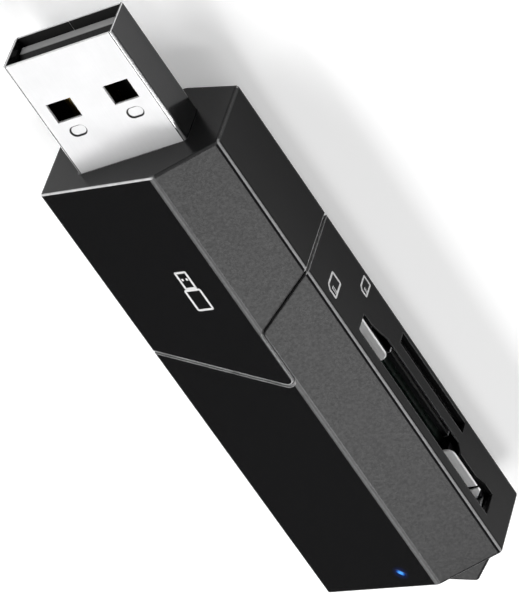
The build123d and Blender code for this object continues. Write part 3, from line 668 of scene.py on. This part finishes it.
def board_lacquer(look):
    """Green lacquer over copper tracks."""
    finish, tree, surface, in_mm = new_finish("board_lacquer")
    grain = use_group(tree, moulded_grain, {"Place": in_mm, "Grain": 0.3})
    tracks = put(tree, "ShaderNodeTexBrick", "Tracks", offset=0.5, squash=1.0)
    feed(tree, tracks, {"Vector": in_mm, "Color1": look.mask, "Color2": look.mask, "Mortar": look.track,
                        "Scale": 1.0 / look.track_pitch, "Mortar Size": 0.12, "Mortar Smooth": 0.1,
                        "Brick Width": 3.2, "Row Height": 1.0})
    weave = mix_colour(tree, "Glass cloth", spread(tree, "Cloth", grain["Mottle"], 0.4, 0.8, 0.0, 0.5),
                       tracks.outputs["Color"], look.mask)
    rough = spread(tree, "Roughness", grain["Mottle"], *NOISE_SPAN, 0.25, 0.38)
    normal = relief_normal(tree, tracks.outputs["Fac"], 0.4, 0.02 * MM)
    feed(tree, surface, {"Base Color": weave, "Roughness": rough, "Normal": normal, "Specular IOR Level": 0.15})
    return finish


def ceramic(name, colour, pale):
    """Fired body of the small parts on the board, mottled from its colour to a paler one."""
    finish, tree, surface, in_mm = new_finish(name)
    grain = use_group(tree, moulded_grain, {"Place": in_mm, "Grain": 0.15})
    tone = mix_colour(tree, "Fired body", spread(tree, "Firing", grain["Mottle"], 0.35, 0.7), colour, pale)
    rough = spread(tree, "Roughness", grain["Mottle"], *NOISE_SPAN, 0.4, 0.55)
    normal = relief_normal(tree, grain["Relief"], 0.12, 0.01 * MM)
    feed(tree, surface, {"Base Color": tone, "Roughness": rough, "Normal": normal})
    return finish


def lit_window(look):
    """Clear blue plastic, lit from behind and brightest in its middle."""
    finish, tree, surface, in_mm = new_finish("light_window")
    glow = spread(tree, "Glow", from_light(tree, in_mm), *LIGHT_GLOW)
    noise = put(tree, "ShaderNodeTexNoise", "Cloudy plastic")
    cloud = feed(tree, noise, {"Vector": in_mm, "Scale": 6.0, "Detail": 2.0}).outputs[0]
    patches = spread(tree, "Cloud", cloud, 0.2, 0.6, 0.7, 1.0)
    patchy = sum_up(tree, "Patchy glow", "MULTIPLY", glow, patches)
    colour = mix_colour(tree, "Blue light", patchy, look.rim, look.core)
    rough = spread(tree, "Roughness", cloud, *NOISE_SPAN, 0.15, 0.3)
    feed(tree, surface, {"Base Color": colour, "Roughness": rough, "Emission Color": colour,
                         "Emission Strength": look.strength})
    return finish


def printing_ink(sizes):
    """Pale pad-printed ink, a little thin in places."""
    finish, tree, surface, in_mm = new_finish("printing_ink")
    grain = use_group(tree, moulded_grain, {"Place": in_mm, "Grain": 0.12})
    thin = spread(tree, "Thin places", grain["Relief"], 0.5, 1.0)
    tone = mix_colour(tree, "Thin ink", thin, sizes.ink, shade(sizes.ink, 0.75))
    rough = spread(tree, "Roughness", grain["Mottle"], *NOISE_SPAN, 0.5, 0.65)
    feed(tree, surface, {"Base Color": tone, "Roughness": rough})
    return finish


# Printed marks


def blank_outline(mesh, width, length):
    """Adds one flat rectangle to a mesh and returns its corners."""
    made = bmesh.ops.create_grid(mesh, x_segments=1, y_segments=1, size=0.5)
    bmesh.ops.scale(mesh, vec=(width, length, 1), verts=made["verts"])
    return made["verts"]


def ring_off(mesh, line):
    """Leaves only a line along the outline of a mesh's one face."""
    inner = mesh.faces[:]
    bmesh.ops.inset_region(mesh, faces=inner, thickness=line, use_boundary=True, use_even_offset=True)
    bmesh.ops.delete(mesh, geom=inner, context="FACES")


def add_bars(mesh, count, pitch, size, centre):
    """Adds a row of small bars to a flat mark."""
    for number in range(count):
        across = centre[0] + (number - (count - 1) / 2) * pitch
        matrix = Matrix.Translation((across, centre[1], 0)) @ Matrix.Diagonal((size[0], size[1], 1, 1))
        bmesh.ops.create_grid(mesh, x_segments=1, y_segments=1, size=0.5, matrix=matrix)


def card_mark(width, length, clip, line, bars):
    """Outline of a card with one clipped corner and a row of contact bars."""
    mesh = bmesh.new()
    verts = blank_outline(mesh, width, length)
    clipped = max(verts, key=lambda v: v.co.x + v.co.y)
    others = [v for v in verts if v is not clipped]
    bmesh.ops.bevel(mesh, geom=[clipped], offset=clip, segments=1, profile=0.5, affect="VERTICES", material=-1)
    bmesh.ops.bevel(mesh, geom=others, offset=line, segments=3, profile=0.5, affect="VERTICES", material=-1)
    ring_off(mesh, line)
    pitch = (width - clip - 2 * line) / bars
    add_bars(mesh, bars, pitch, (pitch * 0.5, length * 0.2), (-clip / 2, length * 0.5 - 2 * line - length * 0.1))
    return mesh


def plug_mark(width, length, line):
    """Outline of a plug: a shell with two windows, on a wider body."""
    mesh = bmesh.new()
    shell = blank_outline(mesh, width * 0.72, length * 0.45)
    bmesh.ops.bevel(mesh, geom=shell, offset=line * 0.5, segments=2, profile=0.5, affect="VERTICES", material=-1)
    ring_off(mesh, line)
    bmesh.ops.translate(mesh, vec=(0, length * 0.275, 0), verts=mesh.verts[:])
    add_bars(mesh, 2, width * 0.26, (line, line * 1.2), (0, length * 0.3))
    body = bmesh.new()
    corners = blank_outline(body, width, length * 0.55)
    bmesh.ops.bevel(body, geom=corners, offset=line, segments=3, profile=0.5, affect="VERTICES", material=-1)
    ring_off(body, line)
    bmesh.ops.translate(body, vec=(0, -length * 0.225, 0), verts=body.verts[:])
    part = bpy.data.meshes.new("plug_mark_body")
    body.to_mesh(part)
    body.free()
    mesh.from_mesh(part)
    bpy.data.meshes.remove(part)
    return mesh


def set_mark(name, mesh, film, matrix, finish):
    """Gives a flat mark its film of ink, lays it on the body and hands it to the frame."""
    bmesh.ops.solidify(mesh, geom=mesh.faces[:], thickness=film)
    bmesh.ops.recalc_face_normals(mesh, faces=mesh.faces[:])
    bmesh.ops.transform(mesh, matrix=matrix, verts=mesh.verts[:])
    data = bpy.data.meshes.new(name)
    mesh.to_mesh(data)
    mesh.free()
    piece = bpy.data.objects.new(name, data)
    bpy.context.scene.collection.objects.link(piece)
    data.materials.append(finish)
    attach(piece, "root")


# Operators


class READER_OT_shells(bpy.types.Operator):
    """Finish the front and rear shells in grained black plastic"""

    bl_idname = "reader.shells"
    bl_label = "Shells"

    def execute(self, context):
        dress(nodes_like("front_shell", "rear_shell"), shell_plastic(context.scene.reader_shell))
        return {"FINISHED"}


class READER_OT_plug(bpy.types.Operator):
    """Finish the plug's sheet, tongue and contacts"""

    bl_idname = "reader.plug"
    bl_label = "Plug"

    def execute(self, context):
        metal = context.scene.reader_metal
        inner = context.scene.reader_inner
        dress(nodes_like("plug_shell"), plug_sheet(metal))
        tip = (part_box("plug_tongue")[1].y, inner.tongue_tip_light)
        dress(nodes_like("plug_tongue"), inner_plastic("tongue_plastic", inner.tongue, 0.45, tip))
        dress(nodes_like("plug_contact", "large_contact", "small_contact"),
              sheet_metal("contact_metal", metal.contact, 0.3, metal.brush_width))
        return {"FINISHED"}


class READER_OT_sockets(bpy.types.Operator):
    """Finish the two card sockets"""

    bl_idname = "reader.sockets"
    bl_label = "Card Sockets"

    def execute(self, context):
        metal = context.scene.reader_metal
        sheet = sheet_metal("socket_steel", metal.socket, metal.socket_roughness, metal.brush_width)
        dress(nodes_like("large_socket_cover", "small_socket_cover"), sheet)
        # Painted light: the plates are near white and hardly metallic so they look lit inside the slot
        plate = sheet_metal("plate_steel_lit", LIT_PLATE, 0.4, metal.brush_width, metallic=0.08)
        dress(nodes_like("large_socket_plate"), plate)
        moulding = inner_plastic("socket_plastic", context.scene.reader_inner.moulding, 0.5)
        dress(nodes_like("large_socket_base", "small_socket_base"), moulding)
        return {"FINISHED"}


class READER_OT_board(bpy.types.Operator):
    """Finish the circuit board and the parts on it"""

    bl_idname = "reader.board"
    bl_label = "Circuit Board"

    def execute(self, context):
        dress(nodes_like("circuit_board"), board_lacquer(context.scene.reader_inner))
        dress(nodes_like("controller_chip"), inner_plastic("chip_plastic", CHIP, 0.55))
        dress(nodes_like("crystal"), sheet_metal("can_steel", CRYSTAL_CAN, 0.28, 0.05))
        dress(nodes_like("capacitors"), ceramic("capacitor_ceramic", *CAPACITOR))
        dress(nodes_like("resistors"), ceramic("resistor_ceramic", *RESISTOR))
        return {"FINISHED"}


class READER_OT_lamp(bpy.types.Operator):
    """Light the window at the far end"""

    bl_idname = "reader.lamp"
    bl_label = "Activity Light"

    def execute(self, context):
        dress(nodes_like("light_window"), lit_window(context.scene.reader_lamp))
        dress(nodes_like("activity_lamp"), ceramic("lamp_resin", *LAMP_RESIN))
        return {"FINISHED"}


class READER_OT_marks(bpy.types.Operator):
    """Print plain marks beside the slots and behind the plug"""

    bl_idname = "reader.marks"
    bl_label = "Printed Marks"

    def execute(self, context):
        sizes = context.scene.reader_marks
        finish = printing_ink(sizes)
        rest = laid_down()
        sink = sizes.film / 2
        side = Matrix(((0, 0, 1, 0), (1, 0, 0, 0), (0, 1, 0, 0), (0, 0, 0, 1)))
        off_side = Vector((sink, 0, 0))
        on_side = rest @ Matrix.Translation(LARGE_MARK_PLACE * MM + off_side) @ side
        mark = card_mark(sizes.large_width, sizes.large_width * 1.3, sizes.large_width * 0.26, sizes.line, 4)
        set_mark("large_card_mark", mark, sizes.film, on_side, finish)
        on_side = rest @ Matrix.Translation(SMALL_MARK_PLACE * MM + off_side) @ side
        mark = card_mark(sizes.small_width, sizes.small_width * 1.36, sizes.small_width * 0.28, sizes.line * 0.9, 3)
        set_mark("small_card_mark", mark, sizes.film, on_side, finish)
        height = SIDE_HALF + (SIDE_OFF + PLUG_MARK_ACROSS) * math.tan(TILT)
        on_top = Matrix.Translation(Vector((PLUG_MARK_ACROSS, PLUG_MARK_ALONG, height)) * MM)
        on_top = on_top @ Matrix.Rotation(-TILT, 4, "Y")
        on_top = rest @ on_top @ Matrix.Translation((0, 0, sink))
        mark = plug_mark(sizes.plug_width, sizes.plug_width * 2.5, sizes.line)
        set_mark("plug_mark", mark, sizes.film, on_top, finish)
        return {"FINISHED"}


class READER_OT_stage(bpy.types.Operator):
    """Lay the floor, hang the lamps and set up the camera"""

    bl_idname = "reader.stage"
    bl_label = "Stage"

    def execute(self, context):
        setup = context.scene.reader_stage
        self.lay_floor(context, setup)
        self.light_room(context, setup)
        self.hang_lamp(context, "strip_lamp", *STRIP_LAMP, setup.strip_power)
        self.hang_lamp(context, "top_lamp", *TOP_LAMP, setup.top_power)
        self.hang_lamp(context, "edge_lamp", *EDGE_LAMP, setup.edge_power)
        self.set_camera(context, setup)
        context.scene.view_settings.view_transform = "Standard"
        return {"FINISHED"}

    def lay_floor(self, context, setup):
        """A wide pale floor that keeps the reader's shadow."""
        mesh = bmesh.new()
        bmesh.ops.create_grid(mesh, x_segments=1, y_segments=1, size=FLOOR_HALF)
        data = bpy.data.meshes.new("floor")
        mesh.to_mesh(data)
        mesh.free()
        floor = bpy.data.objects.new("floor", data)
        context.scene.collection.objects.link(floor)
        finish, tree, surface, in_mm = new_finish("floor_paper")
        fibre = feed(tree, put(tree, "ShaderNodeTexNoise", "Paper"), {"Vector": in_mm, "Scale": 0.05, "Detail": 3.0})
        rough = spread(tree, "Roughness", fibre.outputs[0], *NOISE_SPAN, 0.85, 0.95)
        path = put(tree, "ShaderNodeLightPath", "Seen").outputs
        seen = sum_up(tree, "Seen or mirrored", "MAXIMUM", path["Is Camera Ray"], path["Is Glossy Ray"])
        seen = sum_up(tree, "Seen at all", "MAXIMUM", seen, path["Is Transmission Ray"])
        lift = sum_up(tree, "Lift", "MULTIPLY", seen, setup.floor_lift)
        feed(tree, surface, {"Base Color": setup.floor, "Roughness": rough, "Specular IOR Level": 0.0,
                             "Emission Color": (1, 1, 1, 1), "Emission Strength": lift})
        data.materials.append(finish)

    def light_room(self, context, setup):
        """A dim, even room."""
        world = bpy.data.worlds.new("room")
        world.use_nodes = True
        room = world.node_tree.nodes["Background"]
        room.inputs["Color"].default_value = (1, 1, 1, 1)
        room.inputs["Strength"].default_value = setup.surround
        context.scene.world = world

    def hang_lamp(self, context, name, place, size, power):
        """One soft rectangular lamp, turned to the reader."""
        data = bpy.data.lights.new(name, "AREA")
        data.shape = "RECTANGLE"
        data.size, data.size_y = size
        data.energy = power
        lamp = bpy.data.objects.new(name, data)
        context.scene.collection.objects.link(lamp)
        away = Vector(place)
        back = away.normalized()
        side = Vector((0, 1, 0)) - back * back.y
        side.normalize()
        turn = Matrix((side, back.cross(side), back)).transposed().to_4x4()
        lamp.matrix_world = Matrix.Translation(away) @ turn

    def set_camera(self, context, setup):
        """The camera of the photograph, high over the plug's slot side."""
        data = bpy.data.cameras.new("camera")
        data.lens = setup.lens
        data.sensor_width = SENSOR_WIDTH
        data.clip_start = 0.01
        camera = bpy.data.objects.new("camera", data)
        context.scene.collection.objects.link(camera)
        turn = Matrix((CAMERA_RIGHT, CAMERA_UP, CAMERA_RIGHT.cross(CAMERA_UP))).transposed().to_4x4()
        camera.matrix_world = Matrix.Translation(CAMERA_PLACE * MM) @ turn
        context.scene.camera = camera


class READER_PT_sidebar(bpy.types.Panel):
    """Sizes, colours and steps of the reader"""

    bl_idname = "READER_PT_sidebar"
    bl_label = "Memory Card Reader"
    bl_space_type = "VIEW_3D"
    bl_region_type = "UI"
    bl_category = "Card Reader"

    def draw(self, context):
        scene = context.scene
        for step, settings in STEPS:
            box = self.layout.box()
            box.operator(step.bl_idname)
            if settings:
                for key in getattr(scene, settings).bl_rna.properties.keys():
                    if key not in ("rna_type", "name"):
                        box.prop(getattr(scene, settings), key)


GROUPS = (
    ("reader_shell", ReaderShellLook),
    ("reader_metal", ReaderMetalLook),
    ("reader_inner", ReaderInnerLook),
    ("reader_lamp", ReaderLampLook),
    ("reader_marks", ReaderMarkSizes),
    ("reader_stage", ReaderStageSetup),
)
STEPS = (
    (READER_OT_shells, "reader_shell"),
    (READER_OT_plug, "reader_metal"),
    (READER_OT_sockets, None),
    (READER_OT_board, "reader_inner"),
    (READER_OT_lamp, "reader_lamp"),
    (READER_OT_marks, "reader_marks"),
    (READER_OT_stage, "reader_stage"),
)


def register():
    for name, group in GROUPS:
        bpy.utils.register_class(group)
        setattr(bpy.types.Scene, name, bpy.props.PointerProperty(type=group))
    for step, _ in STEPS:
        bpy.utils.register_class(step)
    bpy.utils.register_class(READER_PT_sidebar)


def unregister():
    bpy.utils.unregister_class(READER_PT_sidebar)
    for step, _ in reversed(STEPS):
        bpy.utils.unregister_class(step)
    for name, group in reversed(GROUPS):
        delattr(bpy.types.Scene, name)
        bpy.utils.unregister_class(group)


def main():
    register()
    bpy.ops.reader.shells()
    bpy.ops.reader.plug()
    bpy.ops.reader.sockets()
    bpy.ops.reader.board()
    bpy.ops.reader.lamp()
    bpy.ops.reader.marks()
    bpy.ops.reader.stage()


if __name__ == "__main__":
    main()
